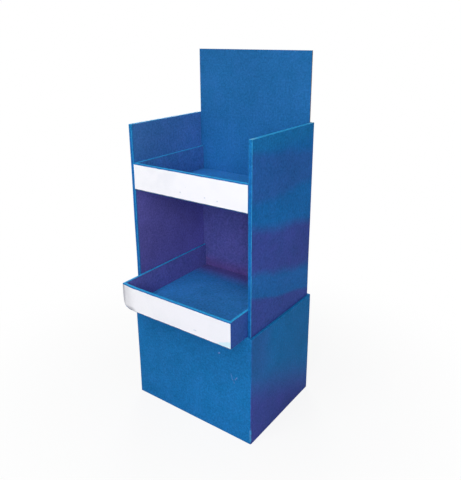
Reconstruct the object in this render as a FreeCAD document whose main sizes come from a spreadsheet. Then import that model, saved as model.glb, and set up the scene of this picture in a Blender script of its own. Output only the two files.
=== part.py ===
import FreeCAD, Part
import math
import os
import re

import Sketcher

# A floor display of printed corrugated board: a square base sleeve, an open shell of a back and two
# hollow side walls that stands inside it, two trays that hook into the side walls, a header card and
# two white front strips. Inside the base two slotted cards carry the lower tray.
# Millimetres, +Z up, +X to the right of someone facing the trays, +Y to the back. The origin is on the
# floor, below the middle of the whole display. The sketches are drawn from the base's front face, and
# each piece's placement moves it from there.

# Driving dimensions: alias, value, what it is.
SIZES = [
    ("base_width", 600.0, "outside width of the base"),
    ("base_depth", 460.0, "outside depth of the base"),
    ("base_height", 468.0, "height of the base's rim, which carries the lower tray"),
    ("board", 4.5, "thickness of the corrugated board"),
    ("fold_gap", 1.0, "space between two layers folded flat together"),
    ("crease_radius", 2.0, "outside radius of a right-angled crease"),
    ("corner_radius", 5.0, "outside radius of the base's upright corners"),
    ("turn_in", 110.0, "depth of the flaps turned into the base"),
    ("glue_flap", 40.0, "width of the base's glued joint flap"),
    ("seam", 0.6, "gap where two folded flaps meet end to end"),
    ("sleeve_gap", 0.4, "clearance between the shell and the base's turned-in flaps"),
    ("shell_top", 1214.0, "height of the side walls and the back"),
    ("side_wall", 15.0, "thickness of a hollow side wall"),
    ("tray_gap", 0.5, "clearance at each side of a tray"),
    ("back_gap", 0.3, "clearance between the back and what stands against it"),
    ("upper_floor", 951.0, "height of the upper tray's underside"),
    ("lip_height", 110.0, "height of a tray's lip and side walls"),
    ("lip_reach", 95.0, "how far the lower tray stands out in front of the base"),
    ("tuck_gap", 0.5, "gap under the inner layer of a tray's wall"),
    ("rear_flange", 40.0, "depth of the flange turned down at a tray's back"),
    ("tab_length", 70.0, "length of a tray's tab"),
    ("tab_reach", 8.5, "how far a tab stands out of the tray's side"),
    ("tab_front", 90.0, "from the shell's front to the middle of a front tab"),
    ("tab_rear", 340.0, "from the shell's front to the middle of a rear tab"),
    ("slot_gap", 0.6, "clearance all round a tab in its slot"),
    ("header_top", 1486.0, "height of the header card's top edge"),
    ("header_gap", 0.7, "clearance at the header card's side edges and shoulders"),
    ("strip_height", 100.0, "height of a white front strip"),
    ("strip_foot", 4.0, "from a lip's lower edge up to its strip"),
    ("strip_margin", 1.0, "from a lip's end to the end of its strip"),
    ("strip_board", 0.8, "thickness of the strip's solid card"),
    ("worn_corner", 18.0, "radius of the lower tray's knocked-in lower left corner"),
    ("worn_depth", 14.0, "how far back that corner is knocked in"),
    ("divider_gap", 1.0, "clearance at the ends of the base's dividers"),
    ("notch_gap", 0.5, "clearance of a divider in the other's notch"),
]

# Places and sizes that follow from the ones above, by name.
DERIVED = {
    "rim": "2*board + fold_gap",
    "half_width": "base_width/2",
    "shell_half": "half_width - rim - sleeve_gap",
    "shell_front": "rim + sleeve_gap",
    "shell_back": "base_depth - rim - sleeve_gap",
    "bay_half": "shell_half - side_wall",
    "hollow_out": "shell_half - board",
    "hollow_in": "bay_half + board",
    "wall_end": "shell_back - board - divider_gap",
    "tray_half": "bay_half - tray_gap",
    "tray_back": "shell_back - board - back_gap",
    "tray_inside": "tray_half - rim",
    "wall_inner": "board + fold_gap",
    "divider_y": "base_depth/2",
    "middle_y": "(base_depth - lip_reach - strip_board)/2",
}

doc = FreeCAD.newDocument("display_stand")
sheet = doc.addObject("Spreadsheet::Sheet", "sizes")
for row, (alias, value, note) in enumerate(SIZES, 1):
    sheet.set(f"A{row}", note)
    sheet.set(f"B{row}", str(value))
    sheet.setAlias(f"B{row}", alias)
doc.recompute()
ALIASES = {alias for alias, value, note in SIZES}


def bound(text):
    """The text with each derived name written out and each alias read from the sheet."""

    def word(match):
        name = match.group(0)
        if name in DERIVED:
            return "(" + bound(DERIVED[name]) + ")"
        return "sizes." + name if name in ALIASES else name

    return re.sub(r"[a-z_]+", word, text)


def new_body(label):
    """An empty body for one physical piece."""
    body = doc.addObject("PartDesign::Body", label)
    body.Label = label
    return body


def new_sketch(body, plane, name, out="0", right="0"):
    """A sketch on one of the body's origin planes, moved out along the plane's normal and to its right."""
    sketch = body.newObject("Sketcher::SketchObject", name)
    support = next(f for f in body.Origin.OriginFeatures if f.Role == plane)
    sketch.AttachmentSupport = [(support, "")]
    sketch.MapMode = "FlatFace"
    sketch.setExpression("AttachmentOffset.Base.z", bound(out))
    sketch.setExpression("AttachmentOffset.Base.x", bound(right))
    return sketch


def hold_point(sketch, geometry, point, spot, wanted):
    """Holds a point of the sketch, now at spot, where it is wanted: two expressions, across and up."""
    for kind, start, text in zip(("DistanceX", "DistanceY"), (spot.x, spot.y), wanted):
        index = sketch.addConstraint(Sketcher.Constraint(kind, -1, 1, geometry, point, start))
        sketch.setExpression(f"Constraints[{index}]", bound(text))


def draw_outline(sketch, places):
    """A closed outline of straight lines through the places, each held by the sheet."""
    count = len(places)
    first = sketch.GeometryCount
    spots = []
    for i in range(count):
        turn = 2 * math.pi * i / count
        spots.append(FreeCAD.Vector(math.cos(turn), math.sin(turn), 0))
    for i in range(count):
        sketch.addGeometry(Part.LineSegment(spots[i], spots[(i + 1) % count]))
    for i in range(count):
        after = first + (i + 1) % count
        sketch.addConstraint(Sketcher.Constraint("Coincident", first + i, 2, after, 1))
    for i in range(count):
        hold_point(sketch, first + i, 1, spots[i], places[i])


def place(body, front="0", height="0"):
    """Stands the piece's own origin at a place back from the base's front face and up from the floor."""
    body.setExpression("Placement.Base.y", bound(f"{front} - middle_y"))
    body.setExpression("Placement.Base.z", bound(height))
    return body


def rectangle(low, high):
    """The four corners between two opposite ones."""
    return [low, (high[0], low[1]), high, (low[0], high[1])]


def pad(body, sketch, length, back=False):
    """Adds the sketch's outline as board, length long along the plane's normal, or against it."""
    feature = body.newObject("PartDesign::Pad", sketch.Name + "_pad")
    feature.Profile = sketch
    feature.setExpression("Length", bound(length))
    feature.Reversed = back
    sketch.Visibility = False
    doc.recompute()
    return feature


def pocket(body, sketch, length, back=False):
    """Cuts the sketch's outline out, length deep. It has to take something away."""
    before = body.Shape.Volume
    feature = body.newObject("PartDesign::Pocket", sketch.Name + "_cut")
    feature.Profile = sketch
    feature.setExpression("Length", bound(length))
    feature.Reversed = back
    sketch.Visibility = False
    doc.recompute()
    if not body.Shape.Volume < before:
        raise RuntimeError(f"{feature.Name} cuts nothing")
    return feature


def round_edges(body, name, wanted, radius):
    """Rounds every edge of the body that the test wants."""
    base = body.Tip
    shape = base.Shape
    names = [f"Edge{i}" for i, edge in enumerate(shape.Edges, 1) if wanted(edge, shape.BoundBox)]
    feature = body.newObject("PartDesign::Fillet", name)
    feature.Base = (base, names)
    feature.setExpression("Radius", bound(radius))
    doc.recompute()
    return feature


def along(edge, axis):
    """True if the edge is straight and runs along the axis: 0, 1 or 2 for X, Y or Z."""
    step = edge.lastVertex().Point - edge.firstVertex().Point
    return edge.Curve.TypeId == "Part::GeomLine" and step.Length - abs(step[axis]) < 0.001


def near(a, b):
    return abs(a - b) < 0.01


def middle(edge):
    return edge.CenterOfMass


def base_sleeve():
    """The base: four walls in one sheet, glued at the back left corner. The top of each wall turns in over
    a rim two boards wide and hangs down inside it, and the shell stands between those flaps."""
    body = new_body("base_sleeve")
    walls = new_sketch(body, "XY_Plane", "base_walls")
    draw_outline(walls, rectangle(("-half_width", "0"), ("half_width", "base_depth")))
    inside = rectangle(("board - half_width", "board"), ("half_width - board", "base_depth - board"))
    draw_outline(walls, inside)
    pad(body, walls, "base_height")

    # Seen along each rim, the turned-in flap is an L: the rim's inner half and the layer below it.
    def flap(near_side, far_side, sign):
        edge = f"{near_side} {sign} "
        return [
            (edge + "board", "base_height - board"),
            (edge + "board", "base_height"),
            (edge + "rim", "base_height"),
            (edge + "rim", "base_height - turn_in"),
            (edge + "wall_inner", "base_height - turn_in"),
            (edge + "wall_inner", "base_height - board"),
        ]

    across = "2*(half_width - board - seam)"
    for name, side, sign in (("front_flap", "0", "+"), ("back_flap", "base_depth", "-")):
        section = new_sketch(body, "YZ_Plane", name, out="seam + board - half_width")
        draw_outline(section, flap(side, side, sign))
        pad(body, section, across)
    for name, side, sign in (("left_flap", "-half_width", "+"), ("right_flap", "half_width", "-")):
        section = new_sketch(body, "XZ_Plane", name, out="-(rim + seam)")
        draw_outline(section, flap(side, side, sign))
        pad(body, section, "base_depth - 2*(rim + seam)", back=True)

    def upright_corner(edge, box):
        spot = middle(edge)
        at_x = near(spot.x, box.XMin) or near(spot.x, box.XMax)
        at_y = near(spot.y, box.YMin) or near(spot.y, box.YMax)
        return along(edge, 2) and at_x and at_y

    round_edges(body, "base_corners", upright_corner, "corner_radius")

    def outer_rim(edge, box):
        inner = sheet.board / 2
        spot = middle(edge)
        near_x = min(spot.x - box.XMin, box.XMax - spot.x) < inner
        near_y = min(spot.y - box.YMin, box.YMax - spot.y) < inner
        return near(edge.BoundBox.ZMin, box.ZMax) and (near_x or near_y)

    round_edges(body, "base_rim", outer_rim, "crease_radius")

    joint = new_sketch(body, "XY_Plane", "glued_joint")
    low = ("board - half_width", "base_depth - 2*board")
    high = ("board + glue_flap - half_width", "base_depth - board")
    draw_outline(joint, rectangle(low, high))
    pad(body, joint, "base_height - turn_in - board")
    return place(body)


def shell():
    """The back and both side walls in one sheet. Each side folds forward, across the front and back again,
    so that it is two boards with a hollow between them, closed by a strip at the top."""
    body = new_body("shell")
    plan = new_sketch(body, "XY_Plane", "shell_plan")
    right = [
        ("bay_half", "wall_end"),
        ("bay_half", "shell_front"),
        ("shell_half", "shell_front"),
        ("shell_half", "shell_back"),
    ]
    inside = [
        ("hollow_out", "shell_back - board"),
        ("hollow_out", "shell_front + board"),
        ("hollow_in", "shell_front + board"),
        ("hollow_in", "wall_end"),
    ]
    left = [("-(" + x + ")", y) for x, y in reversed(right)]
    left_inside = [("-(" + x + ")", y) for x, y in reversed(inside)]
    draw_outline(plan, right + left + left_inside + inside)
    pad(body, plan, "shell_top")

    for name, sign in (("left_top", "-"), ("right_top", "")):
        strip = new_sketch(body, "XY_Plane", name, out="shell_top - board")
        low = (sign + "(hollow_in - board/2)", "shell_front + board/2")
        high = (sign + "(hollow_out + board/2)", "wall_end")
        draw_outline(strip, rectangle(low, high))
        pad(body, strip, "board")

    def crease(edge, box):
        spot = middle(edge)
        thick = sheet.side_wall
        at_front = near(spot.y, box.YMin)
        at_side = near(spot.x, box.XMin) or near(spot.x, box.XMax)
        in_bay = near(abs(spot.x), box.XMax - thick)
        if along(edge, 2):
            return (at_front and (at_side or in_bay)) or (near(spot.y, box.YMax) and at_side)
        top = near(spot.z, box.ZMax)
        return top and ((along(edge, 1) and (at_side or in_bay)) or (along(edge, 0) and at_front))

    round_edges(body, "shell_creases", crease, "crease_radius")

    for level, floor in (("lower", "base_height"), ("upper", "upper_floor")):
        for end, spot in (("front", "tab_front"), ("rear", "tab_rear")):
            slot = new_sketch(body, "YZ_Plane", f"{level}_{end}_slots", out="-hollow_in")
            half = "(tab_length/2 + slot_gap)"
            low = (f"shell_front + {spot} - {half}", f"{floor} - slot_gap")
            high = (f"shell_front + {spot} + {half}", f"{floor} + board + slot_gap")
            draw_outline(slot, rectangle(low, high))
            pocket(body, slot, "2*hollow_in", back=True)
    return place(body)


def tray(label, front, height, worn=False):
    """A tray in one sheet: the floor, the lip and both side walls rolled over to two layers, a flange
    turned down at the back, and two tabs a side that hook into the shell's slots. It is drawn from the
    lip's lower edge, and stands at its front and height."""
    body = new_body(label)
    depth = f"tray_back - ({front})"
    section = new_sketch(body, "XZ_Plane", label + "_section")
    right = [
        ("tray_half", "0"),
        ("tray_half", "lip_height"),
        ("tray_inside", "lip_height"),
        ("tray_inside", "board + tuck_gap"),
        ("tray_half - wall_inner", "board + tuck_gap"),
        ("tray_half - wall_inner", "lip_height - board"),
        ("tray_half - board", "lip_height - board"),
        ("tray_half - board", "board"),
    ]
    left = [("-(" + x + ")", z) for x, z in reversed(right)]
    draw_outline(section, right + left)
    pad(body, section, depth, back=True)

    lip = new_sketch(body, "YZ_Plane", label + "_lip", out="-tray_half")
    profile = [
        ("0", "0"),
        ("0", "lip_height"),
        ("rim", "lip_height"),
        ("rim", "board + tuck_gap"),
        ("wall_inner", "board + tuck_gap"),
        ("wall_inner", "lip_height - board"),
        ("board", "lip_height - board"),
        ("board", "0"),
    ]
    draw_outline(lip, profile)
    pad(body, lip, "2*tray_half")

    def crease(edge, box):
        spot = middle(edge)
        thick = 2 * sheet.board + sheet.fold_gap
        at_side = near(spot.x, box.XMin) or near(spot.x, box.XMax)
        in_side = near(abs(spot.x), box.XMax - thick)
        at_lip = near(spot.y, box.YMin)
        in_lip = near(spot.y, box.YMin + thick)
        top = near(spot.z, box.ZMax)
        bottom = near(spot.z, box.ZMin)
        if along(edge, 1):
            return (top and (at_side or in_side)) or (bottom and at_side)
        return along(edge, 0) and ((top and (at_lip or in_lip)) or (bottom and at_lip))

    round_edges(body, label + "_creases", crease, "crease_radius")

    flange = new_sketch(body, "XY_Plane", label + "_flange", out="-rear_flange")
    low = ("rim - tray_half", f"{depth} - board")
    high = ("tray_half - rim", depth)
    draw_outline(flange, rectangle(low, high))
    pad(body, flange, "rear_flange + board")

    # A tab is cut from the outer layer of the wall and left flat when the wall folds up.
    for end, spot in (("front", "tab_front"), ("rear", "tab_rear")):
        start = f"shell_front + {spot} - tab_length/2 - ({front})"
        stop = f"shell_front + {spot} + tab_length/2 - ({front})"
        window = new_sketch(body, "YZ_Plane", f"{label}_{end}_window", out="-tray_half")
        draw_outline(window, rectangle((start, "board"), (stop, "board + tab_reach")))
        pocket(body, window, "board", back=True)
        window = new_sketch(body, "YZ_Plane", f"{label}_{end}_window_right", out="tray_half")
        draw_outline(window, rectangle((start, "board"), (stop, "board + tab_reach")))
        pocket(body, window, "board")
        tab = new_sketch(body, "XY_Plane", f"{label}_{end}_tabs")
        draw_outline(tab, rectangle(("-(tray_half + tab_reach)", start), ("tray_half + tab_reach", stop)))
        pad(body, tab, "board")

    if worn:
        corner = new_sketch(body, "XZ_Plane", label + "_worn_corner", out="board", right="-tray_half")
        draw_worn_corner(corner)
        pocket(body, corner, "worn_depth + board")

    return place(body, front, height)


def draw_worn_corner(sketch):
    """What a rounded corner leaves out of the square one at the sketch's origin."""
    radius = sheet.worn_corner
    places = [
        ("0", "worn_corner"),
        ("-board", "worn_corner"),
        ("-board", "-board"),
        ("worn_corner", "-board"),
        ("worn_corner", "0"),
    ]
    spots = [(0, radius), (-1, radius), (-1, -1), (radius, -1), (radius, 0)]
    spots = [FreeCAD.Vector(x, y, 0) for x, y in spots]
    lines = len(spots) - 1
    for i in range(lines):
        sketch.addGeometry(Part.LineSegment(spots[i], spots[i + 1]))
    circle = Part.Circle(FreeCAD.Vector(radius, radius, 0), FreeCAD.Vector(0, 0, 1), radius)
    sketch.addGeometry(Part.ArcOfCircle(circle, math.pi, 1.5 * math.pi))
    for i in range(lines - 1):
        sketch.addConstraint(Sketcher.Constraint("Coincident", i, 2, i + 1, 1))
    sketch.addConstraint(Sketcher.Constraint("Coincident", lines - 1, 2, lines, 2))
    sketch.addConstraint(Sketcher.Constraint("Coincident", lines, 1, 0, 1))
    for i in range(lines):
        hold_point(sketch, i, 1, spots[i], places[i])
    hold_point(sketch, lines - 1, 2, spots[lines], places[lines])
    index = sketch.addConstraint(Sketcher.Constraint("Radius", lines, radius))
    sketch.setExpression(f"Constraints[{index}]", bound("worn_corner"))


def header_card():
    """The card behind the goods: full width above the upper tray, on whose walls its shoulders rest, and a
    tongue between them that stands on the tray's floor."""
    body = new_body("header_card")
    outline = new_sketch(body, "XZ_Plane", "header_outline", out="-tray_back")
    shoulder = "upper_floor + lip_height + header_gap"
    right = [
        ("tray_inside - header_gap", "upper_floor + board"),
        ("tray_inside - header_gap", shoulder),
        ("bay_half - header_gap", shoulder),
        ("bay_half - header_gap", "header_top"),
    ]
    left = [("-(" + x + ")", z) for x, z in reversed(right)]
    draw_outline(outline, right + left)
    pad(body, outline, "board")
    return place(body)


def front_strip(label, front, height, worn=False):
    """The white card on a tray's lip. The lower one follows the lip's rounded corner."""
    body = new_body(label)
    outline = new_sketch(body, "XZ_Plane", label + "_outline")
    end = "(tray_half - strip_margin)"
    low = ("-" + end, "strip_foot")
    draw_outline(outline, rectangle(low, (end, "strip_foot + strip_height")))
    pad(body, outline, "strip_board")
    if worn:

        def lower_left(edge, box):
            spot = middle(edge)
            return along(edge, 1) and near(spot.x, box.XMin) and near(spot.z, box.ZMin)

        round_edges(body, label + "_corner", lower_left, "worn_corner")
    return place(body, front, height)


def divider_long():
    """The card across the base, between the side walls, notched from above for the other."""
    body = new_body("base_divider_long")
    outline = new_sketch(body, "XZ_Plane", "divider_long_outline", out="-(divider_y + board/2)")
    end = "(bay_half - divider_gap)"
    notch = "(board/2 + notch_gap)"
    floor = "base_height/2 - notch_gap"
    right = [(end, "0"), (end, "base_height"), (notch, "base_height"), (notch, floor)]
    left = [("-" + x, z) for x, z in reversed(right)]
    draw_outline(outline, right + left)
    pad(body, outline, "board")
    return place(body)


def divider_cross():
    """The card from front to back, notched from below."""
    body = new_body("base_divider_cross")
    outline = new_sketch(body, "YZ_Plane", "divider_cross_outline", out="-board/2")
    front = "rim + divider_gap"
    back = "tray_back - board - divider_gap"
    notch = "(board/2 + notch_gap)"
    roof = "base_height/2 + notch_gap"
    places = [
        (front, "0"),
        ("divider_y - " + notch, "0"),
        ("divider_y - " + notch, roof),
        ("divider_y + " + notch, roof),
        ("divider_y + " + notch, "0"),
        (back, "0"),
        (back, "base_height"),
        (front, "base_height"),
    ]
    draw_outline(outline, places)
    pad(body, outline, "board")
    return place(body)


pieces = [
    base_sleeve(),
    shell(),
    tray("upper_tray", "shell_front", "upper_floor"),
    tray("lower_tray", "-lip_reach", "base_height", worn=True),
    header_card(),
    front_strip("upper_front_strip", "shell_front", "upper_floor"),
    front_strip("lower_front_strip", "-lip_reach", "base_height", worn=True),
    divider_long(),
    divider_cross(),
]
doc.recompute()

for item in doc.Objects:
    if "Invalid" in item.State or "Error" in item.State:
        raise RuntimeError(f"{item.Name} failed: {item.State}")
for piece in pieces:
    if piece.Shape.isNull() or not piece.Shape.isValid() or len(piece.Shape.Solids) != 1:
        raise RuntimeError(f"{piece.Label} isn't one valid solid")

os.makedirs("parts", exist_ok=True)
for piece in pieces:
    piece.Shape.exportStep(f"parts/{piece.Label}.step")
    box = piece.Shape.BoundBox
    print(f"{piece.Label}: {piece.Shape.Volume / 1e3:.0f} cm3, z {box.ZMin:.1f} to {box.ZMax:.1f}")
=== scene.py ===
"""A printed cardboard display stand on a pale floor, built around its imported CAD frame."""

import math

import bmesh
import bpy
from mathutils import Matrix, Vector, noise


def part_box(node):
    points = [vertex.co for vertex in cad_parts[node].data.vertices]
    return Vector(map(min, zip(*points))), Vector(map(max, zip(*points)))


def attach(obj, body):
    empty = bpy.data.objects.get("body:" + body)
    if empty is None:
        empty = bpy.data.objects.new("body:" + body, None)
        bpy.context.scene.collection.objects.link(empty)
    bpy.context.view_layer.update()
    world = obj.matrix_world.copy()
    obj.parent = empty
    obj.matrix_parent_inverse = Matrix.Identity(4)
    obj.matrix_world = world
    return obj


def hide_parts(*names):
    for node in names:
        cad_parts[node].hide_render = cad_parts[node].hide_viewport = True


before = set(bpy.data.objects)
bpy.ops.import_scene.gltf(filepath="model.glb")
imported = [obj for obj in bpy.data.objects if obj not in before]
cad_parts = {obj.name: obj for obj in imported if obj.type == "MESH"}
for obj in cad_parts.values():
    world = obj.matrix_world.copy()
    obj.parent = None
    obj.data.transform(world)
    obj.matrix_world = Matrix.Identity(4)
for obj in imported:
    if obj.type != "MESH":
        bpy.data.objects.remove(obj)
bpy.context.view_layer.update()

# Camera: eye height, in front and to the right of the stand, looking down at it. CENTRE_ROW is the
# picture's row, from the top, that the camera points at.
CAMERA_PLACE = (1.27381, -1.65353, 1.55134)
CAMERA_YAW = 35.94
CAMERA_PITCH = -17.57
CAMERA_ROLL = -0.29
FOCAL_PIXELS = 544.30
LONG_SIDE = 480
SENSOR = 36.0
CENTRE_ROW = 205.0


def make_camera():
    """The photograph's view. The lens is shifted down a little, so the camera tilts less and the
    uprights stay nearer to parallel."""
    yaw, pitch, roll = (math.radians(a) for a in (CAMERA_YAW, CAMERA_PITCH, CAMERA_ROLL))
    level = math.cos(pitch)
    ahead = Vector((-math.sin(yaw) * level, math.cos(yaw) * level, math.sin(pitch)))
    right = ahead.cross(Vector((0, 0, 1))).normalized()
    up = right.cross(ahead)
    tilted_right = right * math.cos(roll) + up * math.sin(roll)
    tilted_up = up * math.cos(roll) - right * math.sin(roll)
    data = bpy.data.cameras.new("camera")
    data.sensor_width = SENSOR
    data.lens = FOCAL_PIXELS * SENSOR / LONG_SIDE
    data.shift_y = (CENTRE_ROW - LONG_SIDE / 2) / LONG_SIDE
    camera = bpy.data.objects.new("camera", data)
    bpy.context.scene.collection.objects.link(camera)
    turn = Matrix((tilted_right, tilted_up, -ahead)).transposed()
    camera.matrix_world = Matrix.Translation(CAMERA_PLACE) @ turn.to_4x4()
    bpy.context.scene.camera = camera


class Nodes:
    """A material's node tree, with short calls for the nodes that the surfaces share."""

    def __init__(self, name):
        self.material = bpy.data.materials.new(name)
        self.material.use_nodes = True
        self.tree = self.material.node_tree
        self.shader = self.tree.nodes["Principled BSDF"]

    def new(self, kind, **settings):
        node = self.tree.nodes.new(kind)
        for key, value in settings.items():
            setattr(node, key, value)
        return node

    def link(self, source, target):
        self.tree.links.new(source, target)

    def fill(self, socket, value):
        if isinstance(value, bpy.types.NodeSocket):
            self.link(value, socket)
        else:
            socket.default_value = value

    def math(self, operation, a, b=0.0, c=0.0):
        node = self.new("ShaderNodeMath", operation=operation)
        for socket, value in zip(node.inputs, (a, b, c)):
            self.fill(socket, value)
        return node.outputs[0]

    def chain(self, operation, values):
        """One operation over all the values in turn."""
        result = values[0]
        for value in values[1:]:
            result = self.math(operation, result, value)
        return result

    def noise(self, place, scale, detail=2.0, roughness=0.5):
        node = self.new("ShaderNodeTexNoise")
        self.link(place, node.inputs["Vector"])
        node.inputs["Scale"].default_value = scale
        node.inputs["Detail"].default_value = detail
        node.inputs["Roughness"].default_value = roughness
        return node.outputs["Fac"]

    def spread(self, value, low, high, to_low, to_high, kind="LINEAR"):
        node = self.new("ShaderNodeMapRange", interpolation_type=kind)
        for socket, given in zip(node.inputs, (value, low, high, to_low, to_high)):
            self.fill(socket, given)
        return node.outputs[0]

    def mix(self, factor, a, b, blend="MIX"):
        node = self.new("ShaderNodeMix", data_type="RGBA", blend_type=blend)
        self.fill(node.inputs["Factor"], factor)
        for socket, value in ((node.inputs[6], a), (node.inputs[7], b)):
            self.fill(socket, value)
        return node.outputs[2]

    def surface(self, colour, roughness, specular):
        """Gives the shader its colour, roughness and specular level."""
        self.fill(self.shader.inputs["Base Color"], colour)
        self.fill(self.shader.inputs["Roughness"], roughness)
        self.shader.inputs["Specular IOR Level"].default_value = specular


# Linear colours of the print, with darker and paler copies of it that paint shade and light.
# The blue leans to violet where shade is painted; the side blue is a darker copy, painted shade
# on the base's right side; inside the bays the blue and the violet are paler copies that paint
# light, with a purple for the deepest painted shade there; the trays' floors get a paler copy
# that paints light.
BLUE = (0.008, 0.134, 0.405, 1)
VIOLET = (0.050, 0.042, 0.262, 1)
BASE_BLUE = (0.009, 0.158, 0.418, 1)
SHADED_SIDE_BLUE = (0.006, 0.140, 0.380, 1)
HEADER_BLUE = (0.016, 0.133, 0.352, 1)
LIT_INNER_BLUE = (0.020, 0.190, 0.465, 1)
BAY_SHADE_VIOLET = (0.132, 0.126, 0.440, 1)
DEEP_SHADE_PURPLE = (0.150, 0.085, 0.330, 1)
LIT_FLOOR_BLUE = (0.034, 0.232, 0.590, 1)
# Painted highlights: the lit tops of the rolled rims and a pool of light on the upper floor, and
# the brightest glints at the ends of the shell's rim.
HIGHLIGHT_BLUE = (0.030, 0.360, 0.740, 1)
RIM_GLINT = (0.200, 0.540, 0.780, 1)
# Lighter creases, partly worn ink and partly painted highlight.
WORN_AND_LIT = (0.035, 0.290, 0.560, 1)
SCUFF = (0.150, 0.250, 0.560, 1)
STREAK = (0.260, 0.130, 0.360, 1)
# Painted shade: the dark line along the foot of each tray's lip, under its strip.
UNDER_STRIP_SHADE = (0.020, 0.024, 0.085, 1)

# Linear colours of the unprinted board, and of the white card, with their painted shade: the
# flutes' dark mouths, the card a little darker and cooler to the right, and greyer at the lower
# strip's bent-back left end; then a faint blue patch on that strip.
WHITE = (1, 1, 1, 1)
KRAFT = (0.235, 0.170, 0.105, 1)
PALE_KRAFT = (0.340, 0.250, 0.155, 1)
EDGE_KRAFT = (0.320, 0.240, 0.150, 1)
FLUTE_MOUTH_SHADE = (0.050, 0.040, 0.035, 1)
WHITE_LEFT = (0.905, 0.905, 0.950, 1)
WHITE_RIGHT = (0.840, 0.840, 0.910, 1)
CARD_CLOUD = (0.810, 0.820, 0.880, 1)
CARD_GRAIN = (0.780, 0.790, 0.840, 1)
CARD_FLECK = (0.350, 0.420, 0.550, 1)
CARD_SPECK = (0.200, 0.340, 0.520, 1)
END_SHADE_GREY = (0.660, 0.660, 0.700, 1)
EDGE_SHADE_GREY = (0.400, 0.400, 0.450, 1)
BLUE_PATCH = (0.560, 0.790, 0.880, 1)

# Sizes and edges of the parts, in metres, that their details are placed by. UPPER_FLOOR is the
# underside of the upper tray's floor.
BOARD = 0.0045
CARD = 0.0008
RIM = 0.010
BASE_TOP = 0.468
SHELL_TOP = 1.214
UPPER_FLOOR = 0.951
BAY_HALF = 0.2746
TRAY_HALF = BAY_HALF - 0.0005
BACK_FACE = 0.2630
TRAY_FRONT = -0.2779
REAR_FLANGE = 0.040
TRAY_DEPTH = 0.110
TRAY_TOP = BASE_TOP + TRAY_DEPTH
TURN_IN_FOOT = BASE_TOP - 0.110
FLUTE = 0.0078

# How finely the board is divided, and how near is near.
GRID = 0.045
EDGE_BAND = 0.006
NEAR = 0.001
SLIVER = 1e-4
WELD = 1e-6
FLAT_ANGLE = math.radians(0.3)
CREASE_ANGLE = math.radians(38)

# How far the board and the cards are bent, pushed and frayed.
WARP_SIZE = 0.0011
WARP_LENGTH = 0.27
CORNER_PUSH = 0.006
LIP_PUSH = 0.0045
SEAM_WIDTH = 0.0005
SEAM_DEPTH = 0.0012
EDGE_LIFT = 0.0008
COCKLE = 0.0005
FRAY = 0.0009


def ease(value, low, high):
    """0 below low, 1 above high, and smooth between them."""
    t = max(0.0, min(1.0, (value - low) / (high - low)))
    return t * t * (3 - 2 * t)


def crushed(spot):
    """The lower tray's left front corner has been knocked: the lip and its strip bend back
    there, and their lower corner is pushed in."""
    if spot.y > TRAY_FRONT + 0.05 or not BASE_TOP - 0.01 < spot.z < TRAY_TOP + 0.01:
        return Vector((0, 0, 0))
    near_front = 1 - ease(spot.y, TRAY_FRONT + 0.012, TRAY_FRONT + 0.05)
    aside = ease(-spot.x, BAY_HALF - 0.085, BAY_HALF) ** 2
    low = 1 - ease(spot.z, BASE_TOP, BASE_TOP + 0.055)
    corner = ease(-spot.x, BAY_HALF - 0.050, BAY_HALF) * low
    push = Vector((CORNER_PUSH * corner, LIP_PUSH * aside, CORNER_PUSH * corner))
    return push * near_front


def warped(spot):
    """Large sheets of board are never quite flat. One gentle field bends all the pieces together,
    and leaves the header card, its back and the foot alone."""
    at = spot / WARP_LENGTH
    size = WARP_SIZE * (1 - ease(spot.z, 0.80, 0.94) * ease(spot.y, 0.16, 0.25))
    shift = Vector((noise.noise(at), noise.noise(at + Vector((31, 5, 9))), 0))
    shift.z = 0.3 * noise.noise(at + Vector((3, 47, 21))) * ease(spot.z, 0.0, 0.15)
    return spot + shift * size + crushed(spot)


def node_mesh(node):
    """A copy of the CAD node's shape, with its flat faces whole."""
    bm = bmesh.new()
    bm.from_mesh(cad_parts[node].data)
    bmesh.ops.remove_doubles(bm, verts=bm.verts, dist=WELD)
    bmesh.ops.dissolve_limit(bm, angle_limit=FLAT_ANGLE, verts=bm.verts, edges=bm.edges)
    return bm


def cut_by(bm, faces, spot, normal):
    """New edges where the plane through the spot meets the faces."""
    edges = {edge for face in faces for edge in face.edges}
    verts = {vert for face in faces for vert in face.verts}
    geometry = [*verts, *edges, *faces]
    bmesh.ops.bisect_plane(bm, geom=geometry, dist=WELD, plane_co=spot, plane_no=normal)


def cut(bm, axis, value):
    """New edges where a plane square to the axis meets the mesh."""
    normal = Vector((0, 0, 0))
    normal[axis] = 1.0
    cut_by(bm, bm.faces[:], normal * value, normal)


def spaced(low, high, bands):
    """Places of the cuts across one axis: even steps, and the bands beside the creases."""
    count = max(1, round((high - low) / GRID))
    even = [low + (high - low) * i / count for i in range(1, count)]
    clear = [v for v in even if all(abs(v - b) > EDGE_BAND for b in bands)]
    return clear + [b for b in bands if low + SLIVER < b < high - SLIVER]


def finish_piece(bm, name, materials, slot, *nodes):
    """Bends the mesh, makes it an object that stands for its nodes, and smooths its creases."""
    for vert in bm.verts:
        vert.co = warped(vert.co)
    mesh = bpy.data.meshes.new(name)
    bm.to_mesh(mesh)
    bm.free()
    mesh.shade_smooth()
    mesh.set_sharp_from_angle(angle=CREASE_ANGLE)
    piece = bpy.data.objects.new(name, mesh)
    bpy.context.scene.collection.objects.link(piece)
    for material in materials:
        mesh.materials.append(material)
    weights = piece.modifiers.new("even_normals", "WEIGHTED_NORMAL")
    weights.keep_sharp = True
    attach(piece, "root")
    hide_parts(*nodes)
    return piece


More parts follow.
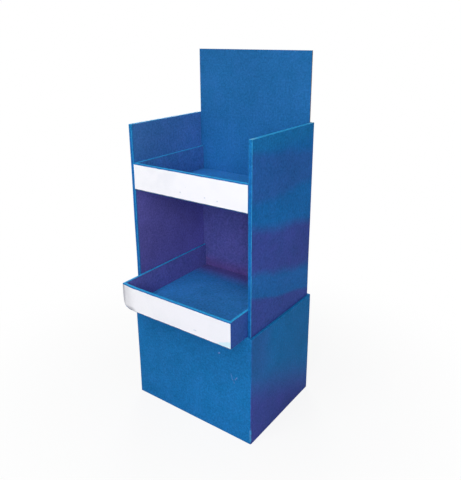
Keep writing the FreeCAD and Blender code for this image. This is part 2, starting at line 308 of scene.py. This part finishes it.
def board_piece(node, name, materials, slot, bands, is_raw, detail=None):
    """The CAD node's own shape as folded board: an even grid, marked creases and raw cut edges.
    The bands are more places, along each axis, where the mesh is cut."""
    bm = node_mesh(node)
    low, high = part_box(node)
    for axis in range(3):
        beside = [low[axis] + EDGE_BAND, high[axis] - EDGE_BAND, *bands[axis]]
        for value in spaced(low[axis], high[axis], beside):
            cut(bm, axis, value)
    bm.normal_update()
    fold = bm.verts.layers.float.new("fold")
    for face in bm.faces:
        if max(abs(v) for v in face.normal) < 0.985:
            for vert in face.verts:
                vert[fold] = 1.0
        elif is_raw(face.normal, face.calc_center_median()):
            face.material_index = 1
    if detail:
        detail(bm)
    return finish_piece(bm, name, materials, slot, node)


class Board(Nodes):
    """The nodes that every surface of the stand shares."""

    def __init__(self, name):
        super().__init__(name)
        self.place = self.new("ShaderNodeTexCoord").outputs["Object"]
        split = self.new("ShaderNodeSeparateXYZ")
        self.link(self.place, split.inputs[0])
        self.x, self.y, self.z = split.outputs
        normal = self.new("ShaderNodeSeparateXYZ")
        self.link(self.new("ShaderNodeNewGeometry").outputs["True Normal"], normal.inputs[0])
        self.nx, self.ny, self.nz = normal.outputs

    def smooth(self, value, low, high):
        """0 below low, 1 above high, and smooth between them."""
        return self.spread(value, low, high, 0.0, 1.0, "SMOOTHSTEP")

    def fade(self, value, low, high):
        """1 below low, 0 above high, and smooth between them."""
        return self.math("SUBTRACT", 1.0, self.smooth(value, low, high))

    def inside(self, value, low, high, soft):
        """1 between low and high, fading over soft."""
        up = self.smooth(value, low - soft, low)
        down = self.smooth(value, high, high + soft)
        return self.math("SUBTRACT", up, down)

    def above(self, value, limit):
        return self.math("GREATER_THAN", value, limit)

    def below(self, value, limit):
        return self.math("LESS_THAN", value, limit)

    def times(self, *values):
        return self.chain("MULTIPLY", values)

    def most(self, *values):
        return self.chain("MAXIMUM", values)

    def front(self):
        """1 on the faces that look to the front."""
        return self.below(self.ny, -0.5)

    def multiply(self, a, b):
        """The product of two colours, or of a colour and a number."""
        return self.mix(1.0, a, b, "MULTIPLY")

    def stroke(self, u, v, start, end, width):
        """1 on a short line across a wall, fading to its sides."""
        run, rise = end[0] - start[0], end[1] - start[1]
        beyond = self.math("SUBTRACT", u, start[0])
        above = self.math("SUBTRACT", v, start[1])
        along = self.math("MULTIPLY_ADD", beyond, run, self.math("MULTIPLY", above, rise))
        share = self.spread(along, 0.0, run * run + rise * rise, 0.0, 1.0)
        gap_u = self.math("SUBTRACT", beyond, self.math("MULTIPLY", share, run))
        gap_v = self.math("SUBTRACT", above, self.math("MULTIPLY", share, rise))
        square = self.math("MULTIPLY_ADD", gap_u, gap_u, self.math("MULTIPLY", gap_v, gap_v))
        return self.fade(self.math("SQRT", square), 0.25 * width, width)

    def flutes(self):
        """The wave of the corrugation, with its ribs upright on every wall."""
        on_side = self.above(self.math("ABSOLUTE", self.nx), 0.5)
        across = self.new("ShaderNodeMix", data_type="FLOAT")
        self.fill(across.inputs["Factor"], on_side)
        self.fill(across.inputs[2], self.x)
        self.fill(across.inputs[3], self.y)
        turn = self.math("MULTIPLY", across.outputs[0], 2 * math.pi / FLUTE)
        return self.math("SINE", turn)


class Print(Board):
    """The nodes that every printed surface shares."""

    def __init__(self, name):
        super().__init__(name)
        self.mottle = self.noise(self.place, 17.0, 4.0, 0.6)

    def ink(self, blue, violet, lean):
        """The colour: the print's blue, leaning to violet by the lean given, which paints shade,
        and clouded by the mottle.
        """
        lean = self.math("ADD", lean, self.spread(self.mottle, 0.35, 0.75, 0.0, 0.10))
        return self.mix(self.math("MINIMUM", lean, 1.0), blue, violet)

    def rim(self, *heights):
        """1 on the rolled top edges at these heights."""
        near = [self.math("COMPARE", self.z, height, 0.0025) for height in heights]
        return self.times(self.above(self.nz, 0.5), self.most(*near))


def printed_board(name, print_on):
    """Satin print on corrugated board: mottled ink, fine grain, the ribs of the flutes and lighter
    creases, partly worn ink and partly painted highlight. The print_on call gives each place's
    colour, with its painted light and shade, and how far its creases are lightened."""
    n = Print(name)
    broad = n.noise(n.place, 3.1, 3.0)
    grain = n.noise(n.place, 120.0, 3.0, 0.75)
    ribs = n.flutes()
    clouds = n.spread(n.mottle, 0.3, 0.7, -0.08, 0.08)
    tone = n.math("ADD", n.spread(broad, 0.3, 0.7, 0.91, 1.09), clouds)
    tone = n.math("ADD", tone, n.spread(grain, 0.25, 0.75, -0.33, 0.33))
    tone = n.math("ADD", tone, n.math("MULTIPLY", ribs, 0.012))
    ink, wear_and_highlight = print_on(n)
    fold = n.new("ShaderNodeAttribute", attribute_name="fold").outputs["Fac"]
    patchy = n.spread(n.noise(n.place, 60.0, 3.0, 0.7), 0.35, 0.62, 0.35, 0.95)
    edge = n.times(n.smooth(fold, 0.25, 1.0), patchy, wear_and_highlight)
    # The creases lighten: worn ink and painted highlight together.
    colour = n.mix(edge, n.multiply(ink, tone), WORN_AND_LIT)
    n.surface(colour, n.spread(grain, 0.3, 0.7, 0.34, 0.46), 0.02)
    bump = n.new("ShaderNodeBump")
    bump.inputs["Strength"].default_value = 0.35
    bump.inputs["Distance"].default_value = 0.0004
    height = n.math("ADD", n.math("MULTIPLY", ribs, 0.10), n.math("MULTIPLY", grain, 0.5))
    n.link(height, bump.inputs["Height"])
    n.link(bump.outputs[0], n.shader.inputs["Normal"])
    return n.material


# Marks on the front of the base, in x and z: from, to and width of each.
FRONT_SCUFFS = (
    ((0.205, 0.287), (0.212, 0.266), 0.0030),
    ((0.212, 0.266), (0.221, 0.252), 0.0036),
    ((0.225, 0.268), (0.235, 0.282), 0.0030),
    ((0.146, 0.358), (0.150, 0.360), 0.0050),
    ((0.2965, 0.016), (0.2965, 0.063), 0.0045),
)


def base_print_and_shading(n):
    """Painted shade: the right side is a darker copy of the blue, more violet low down and
    towards its front corner. Scuffs on the front. The rim's top is a painted highlight, weaker
    on the right side, and its creases are lighter too; the right corners are worn at the foot,
    but not the rest of the corners."""
    # Painted shade: a darker copy of the blue on the right side, more violet low and to the front.
    right = n.above(n.nx, 0.5)
    low = n.fade(n.math("MULTIPLY_ADD", n.y, 0.43, n.z), 0.08, 0.31)
    near = n.fade(n.y, -0.13, 0.0)
    shade = n.most(n.times(low, 0.75), n.times(near, 0.25))
    ink = n.ink(n.mix(right, BASE_BLUE, SHADED_SIDE_BLUE), VIOLET, n.times(right, shade))
    marks = [n.stroke(n.x, n.z, *mark) for mark in FRONT_SCUFFS]
    broken = n.spread(n.noise(n.place, 130.0, 2.0), 0.35, 0.6, 0.15, 0.75)
    ink = n.mix(n.times(n.front(), n.most(*marks), broken), ink, SCUFF)
    # Painted highlight on the rim's top and on its creases, weaker on the right side.
    rim_highlight_share = n.spread(n.x, 0.280, 0.292, 0.8, 0.15)
    ink = n.mix(n.times(n.rim(BASE_TOP), rim_highlight_share), ink, HIGHLIGHT_BLUE)
    foot = n.times(n.inside(n.z, 0.014, 0.060, 0.014), n.above(n.x, 0.0))
    top = n.times(n.smooth(n.z, BASE_TOP - 0.016, BASE_TOP - 0.006), rim_highlight_share)
    return ink, n.most(top, foot)


# Painted shade: softly darker, more violet bands down the shell's right side. Each has its top
# and its bottom line, as the height where y is 0 and the rise towards the back, then how softly
# it ends and how deep it is.
RIGHT_SHADE_BANDS = (
    ((1.145, -0.145), (0.979, 0.037), 0.050, 0.26),
    ((0.857, -0.184), (0.672, -0.252), 0.065, 0.68),
    ((0.690, -0.252), (0.560, -0.289), 0.030, 0.12),
    ((0.576, -0.289), (0.300, -0.289), 0.028, 0.66),
)


def side_shade_bands(n):
    """How violet the right side's painted shade bands are. Their edges wander a little."""
    wander = n.math("SUBTRACT", n.noise(n.place, 4.5, 2.0), 0.5)
    bands = []
    for (top, top_rise), (low, low_rise), soft, share in RIGHT_SHADE_BANDS:
        drift = n.math("MULTIPLY_ADD", wander, 1.2 * soft, n.z)
        half = soft / 2
        under = n.fade(n.math("MULTIPLY_ADD", n.y, -top_rise, drift), top - half, top + half)
        over = n.smooth(n.math("MULTIPLY_ADD", n.y, -low_rise, drift), low - half, low + half)
        bands.append(n.times(under, over, share))
    return n.most(*bands)


def bay_print_and_shading(n, back):
    """The shell's inside, in painted light and shade: violet, darker towards the front of its
    sides, lighter under the upper tray, and purple at its foot, with one streak there."""
    lower_bay = n.fade(n.z, 0.93, 0.97)
    # Painted shade: violet, deep in the lower bay and light in the upper one.
    lean = n.math("MULTIPLY_ADD", lower_bay, 0.75, 0.25)
    lean = n.times(lean, n.spread(back, 0.0, 1.0, 1.0, 0.86))
    inner = n.ink(LIT_INNER_BLUE, BAY_SHADE_VIOLET, lean)
    side = n.above(n.math("ABSOLUTE", n.nx), 0.5)
    # Painted shade: the inner sides are darker towards the front.
    inner = n.multiply(inner, n.mix(side, WHITE, n.spread(n.y, -0.17, 0.26, 0.86, 1.14)))
    # Painted light: lighter at the back, just under the upper tray.
    lit = n.times(n.smooth(n.z, 0.80, 0.94), n.smooth(n.y, -0.08, 0.16), lower_bay, 0.35)
    inner = n.multiply(inner, n.math("ADD", lit, 1.0))
    # Painted shade: purple where the back meets the lower tray's floor.
    foot_shade = n.times(n.fade(n.z, 0.475, 0.545), n.front(), 0.7)
    inner = n.mix(foot_shade, inner, DEEP_SHADE_PURPLE)
    streak = n.stroke(n.x, n.z, (-0.272, 0.509), (-0.244, 0.504), 0.004)
    return n.mix(n.times(streak, n.front(), 0.5), inner, STREAK)


def shell_print_and_shading(n):
    """Painted shade: violet inside the lower bay and at its foot, a little in the upper one, and
    in soft bands down the right side. The rim's top is a painted highlight, glinting most at its
    ends and to the right."""
    back = n.times(n.front(), n.above(n.y, 0.0))
    within = n.most(n.below(n.times(n.x, n.nx), -0.1), back)
    within = n.times(within, n.smooth(n.y, -0.171, -0.160))
    right = n.above(n.x, BAY_HALF + 0.014)
    blue = n.mix(n.smooth(n.z, 1.13, 1.19), BLUE, BASE_BLUE)
    # Painted shade bands down the right side.
    outer = n.ink(blue, VIOLET, n.times(right, side_shade_bands(n)))
    # Painted highlight on the rim's top, glinting most at its ends and to the right.
    ends = n.most(n.fade(n.y, -0.171, -0.120), n.smooth(n.y, 0.215, 0.262))
    glint_share = n.times(ends, n.spread(n.x, -0.2, 0.2, 0.2, 0.9))
    ink = n.mix(within, outer, bay_print_and_shading(n, back))
    return n.mix(n.rim(SHELL_TOP), ink, n.mix(glint_share, HIGHLIGHT_BLUE, RIM_GLINT)), 1.0


def tray_print_and_shading(n):
    """Painted light and shade: violet shade on the lower tray's walls, less on the upper's, and
    deeper across the back of the lower floor; paler floors, and a pool of painted light at the
    upper floor's front right; violet shade on the trays' outer sides; highlights on the rims; a
    dark painted shade line under each strip. The lighter crease along the top of the lower tray's
    left wall fades towards the back, into painted shade."""
    level = n.above(n.nz, 0.7)
    upright = n.math("SUBTRACT", 1.0, level)
    lower = n.below(n.z, TRAY_TOP + 0.010)
    # Painted shade: violet on the walls, most in the lower tray.
    walls = n.times(upright, n.math("MULTIPLY_ADD", lower, 0.60, 0.25))
    inner = n.ink(n.mix(level, LIT_INNER_BLUE, LIT_FLOOR_BLUE), BAY_SHADE_VIOLET, walls)
    # Painted shadow across the back of the lower tray's floor.
    rear = n.times(level, lower, n.smooth(n.y, 0.14, 0.24), 0.80)
    inner = n.mix(rear, inner, n.mix(n.smooth(n.y, 0.19, 0.25), BAY_SHADE_VIOLET, DEEP_SHADE_PURPLE))
    # Painted light: a brighter pool at the front right of the upper floor.
    lit = n.times(n.smooth(n.x, 0.02, 0.24), n.fade(n.y, -0.15, 0.02))
    lit = n.times(lit, level, n.above(n.z, UPPER_FLOOR), 0.6)
    inner = n.mix(lit, inner, HIGHLIGHT_BLUE)
    beside = n.above(n.times(n.x, n.nx), 0.1)
    outside = n.most(beside, n.below(n.math("MINIMUM", n.ny, n.nz), -0.5))
    # Painted shade: the trays' outer sides lean to violet.
    outer = n.ink(BLUE, VIOLET, n.times(beside, 0.50))
    # Painted shade: a dark line along the lip's foot, under each strip.
    feet = [foot - 0.001 for foot in (BASE_TOP, UPPER_FLOOR)]
    lines = [n.inside(n.z, foot, foot + 0.005, 0.001) for foot in feet]
    lip = n.times(n.front(), n.below(n.y, -0.15))
    outer = n.mix(n.times(lip, n.most(*lines), 0.8), outer, UNDER_STRIP_SHADE)
    # Painted highlight on the rims' tops.
    rims = n.rim(TRAY_TOP, UPPER_FLOOR + TRAY_DEPTH)
    ink = n.mix(rims, n.mix(outside, inner, outer), HIGHLIGHT_BLUE)
    # Painted shade: the lower tray's left wall loses its lighter crease towards the back.
    shaded_back_left = n.times(lower, n.below(n.x, 0.0), n.smooth(n.y, -0.02, 0.12), 0.85)
    return ink, n.math("SUBTRACT", 1.0, shaded_back_left)


def header_print_and_shading(n):
    """One even blue print, made a little lighter towards the foot by painted light."""
    foot = n.spread(n.z, 1.0, 1.45, 1.20, 1.0)
    return n.multiply(n.ink(HEADER_BLUE, VIOLET, 0.0), foot), 1.0


def raw_edge(name):
    """Cut edge of corrugated board: brown liners, and dark painted shade for the open mouths of
    the flutes.
    """
    n = Board(name)
    fibres = n.noise(n.place, 900.0, 2.0, 0.6)
    mouths = n.math("ABSOLUTE", n.flutes())
    kraft = n.mix(n.spread(fibres, 0.3, 0.7, 0.0, 1.0), KRAFT, EDGE_KRAFT)
    # Painted shade in the flutes' open mouths.
    colour = n.mix(n.smooth(mouths, 0.55, 0.9), kraft, FLUTE_MOUTH_SHADE)
    n.surface(colour, n.spread(fibres, 0.3, 0.7, 0.8, 0.95), 0.1)
    return n.material


def plain_board(name):
    """Unprinted brown board: fibres, flecks and the ribs of the flutes."""
    n = Board(name)
    fibres = n.noise(n.place, 300.0, 4.0, 0.7)
    cloud = n.spread(n.noise(n.place, 6.0, 2.0), 0.3, 0.7, 0.9, 1.1)
    tone = n.math("ADD", cloud, n.times(n.flutes(), 0.04))
    kraft = n.mix(n.spread(fibres, 0.35, 0.65, 0.0, 1.0), KRAFT, PALE_KRAFT)
    n.surface(n.multiply(kraft, tone), n.spread(fibres, 0.3, 0.7, 0.75, 0.92), 0.15)
    return n.material


# Specks on the strips, in x and z.
UPPER_SPECKS = ((0.083, 0.978), (0.140, 0.9745))
LOWER_SPECKS = ((0.105, 0.492), (0.112, 0.4925))


def end_shade_and_patch(n, colour):
    """Painted shade at the lower strip's bent-back left end: greyer over its last 80 mm, darkest
    at the end and along its lower left edge; and a faint blue patch low on the right, under a
    rising line."""
    drift = n.spread(n.noise(n.place, 24.0, 3.0, 0.6), 0.3, 0.7, -0.010, 0.010)
    # Painted shade: greyer towards the left end.
    end_shade = n.fade(n.math("ADD", n.x, drift), -BAY_HALF, -0.195)
    colour = n.mix(n.times(end_shade, 0.75), colour, END_SHADE_GREY)
    # Painted shade: darkest at the left end and along the lower left edge.
    left_end = n.fade(n.math("MULTIPLY_ADD", drift, 0.3, n.x), -0.270, -0.258)
    low_edge = n.fade(n.math("MULTIPLY_ADD", drift, 0.3, n.z), 0.475, 0.490)
    low_edge = n.times(low_edge, n.fade(n.x, -0.225, -0.190))
    colour = n.mix(n.times(n.most(left_end, low_edge), 0.8), colour, EDGE_SHADE_GREY)
    line = n.math("MULTIPLY_ADD", n.x, 0.45, 0.3775)
    under = n.math("SUBTRACT", line, n.math("MULTIPLY_ADD", drift, 0.4, n.z))
    patch_mask = n.times(n.smooth(under, -0.004, 0.002), n.smooth(n.x, 0.195, 0.215), 0.8)
    return n.mix(patch_mask, colour, BLUE_PATCH)


def white_card(name, specks, shaded_end=False):
    """Coated white card: a cool white with faint grey clouds, small flecks and a few specks."""
    n = Board(name)
    cloud = n.noise(n.place, 9.0, 3.0)
    grain = n.noise(n.place, 150.0, 3.0, 0.7)
    flecks = n.smooth(n.noise(n.place, 75.0, 1.0, 0.3), 0.78, 0.83)
    # Painted shade: the card is a little darker and cooler towards its right end.
    colour = n.mix(n.smooth(n.x, -BAY_HALF, BAY_HALF), WHITE_LEFT, WHITE_RIGHT)
    colour = n.mix(n.smooth(cloud, 0.45, 0.80), colour, CARD_CLOUD)
    colour = n.mix(n.spread(grain, 0.4, 0.75, 0.0, 0.25), colour, CARD_GRAIN)
    colour = n.mix(n.times(flecks, 0.4), colour, CARD_FLECK)
    dots = [n.stroke(n.x, n.z, (x, z), (x + 0.002, z), 0.0035) for x, z in specks]
    colour = n.mix(n.times(n.most(*dots), 0.42), colour, CARD_SPECK)
    # The lower strip's card gets painted shade at its left end and a faint blue patch.
    if shaded_end:
        colour = end_shade_and_patch(n, colour)
    n.surface(colour, n.spread(grain, 0.3, 0.7, 0.5, 0.62), 0.25)
    return n.material


def facing(normal, axis, sign=0):
    """True for a face square to the axis; with a sign, only for that side."""
    return normal[axis] * sign > 0.9 if sign else abs(normal[axis]) > 0.9


def groove(bm, faces, spot, normal):
    """A thin V-shaped seam down into the faces: three cuts, the middle one pushed in."""
    for shift in (-SEAM_WIDTH, 0.0, SEAM_WIDTH):
        cut_by(bm, faces(bm), spot + normal * shift, normal)
    for face in faces(bm):
        for vert in face.verts:
            if abs((vert.co - spot).dot(normal)) < WELD and not vert.tag:
                vert.tag = True
                vert.co.z -= SEAM_DEPTH


def corner_seams(bm, corners, top, reach):
    """The mitred seams at the corners of a rolled rim. Each corner is its x, its y and which way
    its diagonal leans."""
    for x, y, lean in corners:
        normal = Vector((lean, 1.0, 0.0)).normalized()

        def near_corner(mesh, x=x, y=y):
            return [
                face
                for face in mesh.faces
                if face.normal.z > 0.9
                and abs(face.calc_center_median().z - top) < NEAR
                and abs(face.calc_center_median().x - x) < reach
                and abs(face.calc_center_median().y - y) < reach
            ]

        groove(bm, near_corner, Vector((x, y, top)), normal)
    for vert in bm.verts:
        vert.tag = False


def base_detail(bm):
    """Seams at the four corners of the base's rim."""
    low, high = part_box("base_sleeve")
    half = RIM / 2
    corners = [
        (low[0] + half, low[1] + half, -1.0),
        (high[0] - half, low[1] + half, 1.0),
        (low[0] + half, high[1] - half, 1.0),
        (high[0] - half, high[1] - half, -1.0),
    ]
    corner_seams(bm, corners, BASE_TOP, half + 0.0005)


def tray_detail(node):
    """Seams at the two front corners of a tray's rim."""

    def detail(bm):
        low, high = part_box(node)
        half = RIM / 2
        x, y = TRAY_HALF - half, low[1] + half
        corner_seams(bm, [(-x, y, -1.0), (x, y, 1.0)], high[2], half + 0.0005)

    return detail


def sheet_card(bm, xs, zs, y0, y1, keep):
    """A flat sheet between y0 and y1 over the cells of a grid that keep wants."""
    cells = [
        (i, k)
        for i in range(len(xs) - 1)
        for k in range(len(zs) - 1)
        if keep((xs[i] + xs[i + 1]) / 2, (zs[k] + zs[k + 1]) / 2)
    ]
    chosen = set(cells)
    made = {}

    def vert(i, k, y):
        if (i, k, y) not in made:
            made[i, k, y] = bm.verts.new((xs[i], y, zs[k]))
        return made[i, k, y]

    for i, k in cells:
        ring = ((i, k), (i + 1, k), (i + 1, k + 1), (i, k + 1))
        bm.faces.new([vert(a, b, y0) for a, b in ring])
        bm.faces.new([vert(a, b, y1) for a, b in reversed(ring)])
        beside = ((i, k - 1), (i + 1, k), (i, k + 1), (i - 1, k))
        for side, other in enumerate(beside):
            if other not in chosen:
                a, b = ring[side], ring[(side + 1) % 4]
                face = bm.faces.new([vert(*b, y0), vert(*a, y0), vert(*a, y1), vert(*b, y1)])
                face.material_index = 1


# The header's liners and the wave between them, the room round the header, and how far the wave
# stands back from its edges and from the liners.
LINER = 0.0005
MEDIUM = 0.0003
WAVE_STEPS = 10
HEADER_ROOM = 0.0007
WAVE_INSET = 0.0004
WAVE_GAP = 0.00002


def header_card(materials):
    """The header: two printed liners with the wave of the corrugation between them, open at the
    edges. It is narrower below its shoulders, where it stands in the upper tray."""
    low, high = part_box("header_card")
    shoulder = UPPER_FLOOR + TRAY_DEPTH + HEADER_ROOM
    tongue = TRAY_HALF - RIM - HEADER_ROOM

    def keep(x, z):
        return z > shoulder or abs(x) < tongue

    def steps(*stops):
        places = []
        for start, stop in zip(stops, stops[1:]):
            count = max(1, round((stop - start) / GRID))
            places += [start + (stop - start) * i / count for i in range(count)]
        return [*places, stops[-1]]

    xs = steps(low[0], -tongue, tongue, high[0])
    zs = steps(low[2], shoulder, high[2])
    bm = bmesh.new()
    bm.verts.layers.float.new("fold")
    sheet_card(bm, xs, zs, low[1], low[1] + LINER, keep)
    sheet_card(bm, xs, zs, high[1] - LINER, high[1], keep)
    middle = (low[1] + high[1]) / 2
    swing = (high[1] - low[1]) / 2 - LINER - MEDIUM / 2 - WAVE_GAP
    count = round((high[0] - low[0]) / FLUTE) * WAVE_STEPS
    columns = []
    for i in range(count + 1):
        x = low[0] + WAVE_INSET + (high[0] - low[0] - 2 * WAVE_INSET) * i / count
        y = middle + swing * math.sin(2 * math.pi * i / WAVE_STEPS)
        foot = low[2] if abs(x) < tongue - 0.0002 else shoulder
        heights = (foot + WAVE_INSET, high[2] - WAVE_INSET)
        columns.append([(x, y + s * MEDIUM / 2, z) for s in (-1, 1) for z in heights])
    before = None
    for column in columns:
        now = [bm.verts.new(spot) for spot in column]
        ends = (now[0], now[1], now[3], now[2])
        if before is None:
            bm.faces.new(ends)
        else:
            for a, b in ((0, 1), (1, 3), (3, 2), (2, 0)):
                bm.faces.new((before[a], before[b], now[b], now[a]))
        before = now
    bm.faces.new(reversed(ends))
    bmesh.ops.recalc_face_normals(bm, faces=bm.faces)
    for face in bm.faces:
        inside = low[1] + LINER / 2 < face.calc_center_median().y < high[1] - LINER / 2
        face.material_index = 1 if inside else 0
    return finish_piece(bm, "header_board", materials, "blue_board", "header_card")


def front_strip(node, name, material, seed):
    """The white card: a little cockled where it is glued down, with soft, not quite straight
    edges. Each seed gives other cockles."""
    bm = node_mesh(node)
    low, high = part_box(node)
    for axis, step in ((0, 0.012), (2, 0.010)):
        count = round((high[axis] - low[axis]) / step)
        for i in range(1, count):
            cut(bm, axis, low[axis] + (high[axis] - low[axis]) * i / count)
    for vert in bm.verts:
        x, z = vert.co.x, vert.co.z
        from_edge = min(x - low[0], high[0] - x, z - low[2], high[2] - z)
        rim = 1 - ease(from_edge, 0.0, 0.012)
        lift = 0.5 + 0.5 * noise.noise(Vector((x * 21, z * 21, 3.3 + seed)))
        cockle = 0.5 + 0.5 * noise.noise(Vector((x * 13, z * 9, 7.7 + seed)))
        if vert.co.y < low[1] + CARD / 2:
            vert.co.y -= EDGE_LIFT * rim * lift + COCKLE * cockle * (1 - rim)
        if min(z - low[2], high[2] - z) < SLIVER:
            vert.co.z += FRAY * noise.noise(Vector((x * 45, z * 45, 1.1)))
    return finish_piece(bm, name, [material], "white_card", node)


def make_base(raw):
    """The base's raw edges are at its foot and where its turned-in flaps end."""

    def base_raw(normal, spot):
        return facing(normal, 2, -1) and min(spot.z, abs(spot.z - TURN_IN_FOOT)) < NEAR

    low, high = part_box("base_sleeve")
    bands = [[low[i] + RIM, high[i] - RIM] for i in range(2)] + [[]]
    skins = [printed_board("base_print_and_shading", base_print_and_shading), raw]
    board_piece("base_sleeve", "base_board", skins, "blue_board", bands, base_raw, base_detail)


def make_shell(raw):
    """The shell's raw edges are at its foot and along the top of its back."""

    def shell_raw(normal, spot):
        if facing(normal, 2, -1):
            return spot.z < NEAR
        return facing(normal, 2, 1) and spot.y > BACK_FACE and spot.z > SHELL_TOP - NEAR

    skins = [printed_board("shell_print_and_shading", shell_print_and_shading), raw]
    beside = [s * (BAY_HALF + e) for s in (-1, 1) for e in (-EDGE_BAND, EDGE_BAND)]
    board_piece("shell", "shell_board", skins, "blue_board", (beside, [], []), shell_raw)


def make_trays(raw):
    """The trays' raw edges are at the ends of their tabs and of their side walls."""

    def tray_raw(normal, spot):
        tab_end = facing(normal, 0) and abs(spot.x) > BAY_HALF + 2 * NEAR
        wall_end = facing(normal, 1, 1) and abs(spot.x) > BAY_HALF - RIM - NEAR
        return tab_end or wall_end

    skins = [printed_board("tray_print_and_shading", tray_print_and_shading), raw]
    for node in ("upper_tray", "lower_tray"):
        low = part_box(node)[0]
        edges_x = [s * (TRAY_HALF - e) for s in (-1, 1) for e in (EDGE_BAND, RIM + EDGE_BAND)]
        edges_y = [low[1] + RIM + EDGE_BAND]
        edges_z = [low[2] + REAR_FLANGE + e for e in (EDGE_BAND, BOARD)]
        bands, detail = (edges_x, edges_y, edges_z), tray_detail(node)
        board_piece(node, node + "_board", skins, "blue_board", bands, tray_raw, detail)


def make_dividers(raw):
    """The two plain boards that stand in the base. Only their broad faces aren't raw."""

    def divider_raw(thin):
        return lambda normal, spot: not facing(normal, thin)

    skins = [plain_board("plain_board"), raw]
    for way, thin in (("long", 1), ("cross", 0)):
        node, name = f"base_divider_{way}", f"{way}_divider_board"
        board_piece(node, name, skins, "plain_board", ([], [], []), divider_raw(thin))


def make_pieces():
    """All that is seen of the stand, from the ground up, and the dividers inside it."""
    raw = raw_edge("raw_edge")
    clean_card = white_card("white_card", UPPER_SPECKS)
    shaded_end_card = white_card("shaded_end_card", LOWER_SPECKS, shaded_end=True)
    make_base(raw)
    make_shell(raw)
    make_trays(raw)
    header_card([printed_board("header_print_and_shading", header_print_and_shading), raw])
    front_strip("upper_front_strip", "upper_strip_card", clean_card, 0)
    front_strip("lower_front_strip", "lower_strip_card", shaded_end_card, 9)
    make_dividers(raw)


def make_lamp(name, place, aim, size, power):
    """A round, soft lamp turned towards its aim."""
    data = bpy.data.lights.new(name, "AREA")
    data.shape = "DISK"
    data.size = size
    data.energy = power
    lamp = bpy.data.objects.new(name, data)
    bpy.context.scene.collection.objects.link(lamp)
    lamp.location = place
    lamp.rotation_mode = "QUATERNION"
    lamp.rotation_quaternion = (Vector(aim) - Vector(place)).to_track_quat("-Z", "Y")


def make_world():
    """A pure white background, and a dimmer white light from all round."""
    world = bpy.data.worlds.new("world")
    bpy.context.scene.world = world
    world.use_nodes = True
    tree = world.node_tree
    background = tree.nodes["Background"]
    paths = tree.nodes.new("ShaderNodeLightPath")
    seen = tree.nodes.new("ShaderNodeMath")
    seen.operation = "MAXIMUM"
    tree.links.new(paths.outputs["Is Camera Ray"], seen.inputs[0])
    tree.links.new(paths.outputs["Is Transmission Ray"], seen.inputs[1])
    level = tree.nodes.new("ShaderNodeMapRange")
    level.inputs["To Min"].default_value = 0.25
    level.inputs["To Max"].default_value = 1.0
    tree.links.new(seen.outputs[0], level.inputs["Value"])
    tree.links.new(level.outputs[0], background.inputs["Strength"])
    background.inputs["Color"].default_value = WHITE


def make_floor():
    """A plain pale floor, which the camera sees turn white away from the stand."""
    mesh = bpy.data.meshes.new("floor")
    side = 14.0
    corners = [(-side, -side, 0), (side, -side, 0), (side, side, 0), (-side, side, 0)]
    mesh.from_pydata(corners, [], [(0, 1, 2, 3)])
    floor = bpy.data.objects.new("floor", mesh)
    bpy.context.scene.collection.objects.link(floor)
    floor.location.z = -0.0004
    n = Nodes("floor")
    place = n.new("ShaderNodeTexCoord").outputs["Object"]
    pale = n.mix(n.noise(place, 3.0), (0.86, 0.86, 0.86, 1), (0.90, 0.90, 0.90, 1))
    n.surface(pale, 0.9, 0.0)
    glow = n.new("ShaderNodeEmission")
    paths = n.new("ShaderNodeLightPath").outputs["Is Camera Ray"]
    away = n.new("ShaderNodeVectorMath", operation="LENGTH")
    n.link(place, away.inputs[0])
    far = n.spread(away.outputs["Value"], 0.3, 1.5, 0.86, 1.0, "SMOOTHSTEP")
    blend = n.new("ShaderNodeMixShader")
    n.link(n.math("MULTIPLY", far, paths), blend.inputs[0])
    n.link(n.shader.outputs[0], blend.inputs[1])
    n.link(glow.outputs[0], blend.inputs[2])
    n.link(blend.outputs[0], n.tree.nodes["Material Output"].inputs["Surface"])
    floor.data.materials.append(n.material)


make_pieces()
make_camera()
make_lamp("camera_side", (1.5, -2.6, 2.0), (0, 0, 0.7), 1.6, 50)
make_lamp("key", (-0.4, -2.1, 3.7), (0, 0, 0.7), 1.5, 42)
make_lamp("high_right", (1.4, -2.3, 3.0), (0, 0, 0.8), 1.8, 8)
make_lamp("side", (3.3, -0.2, 1.9), (0, 0, 0.9), 1.8, 14)
make_lamp("behind", (-2.2, 2.9, 2.2), (0, 0, 0.8), 2.0, 46)
make_world()
make_floor()
bpy.context.scene.view_settings.view_transform = "Standard"
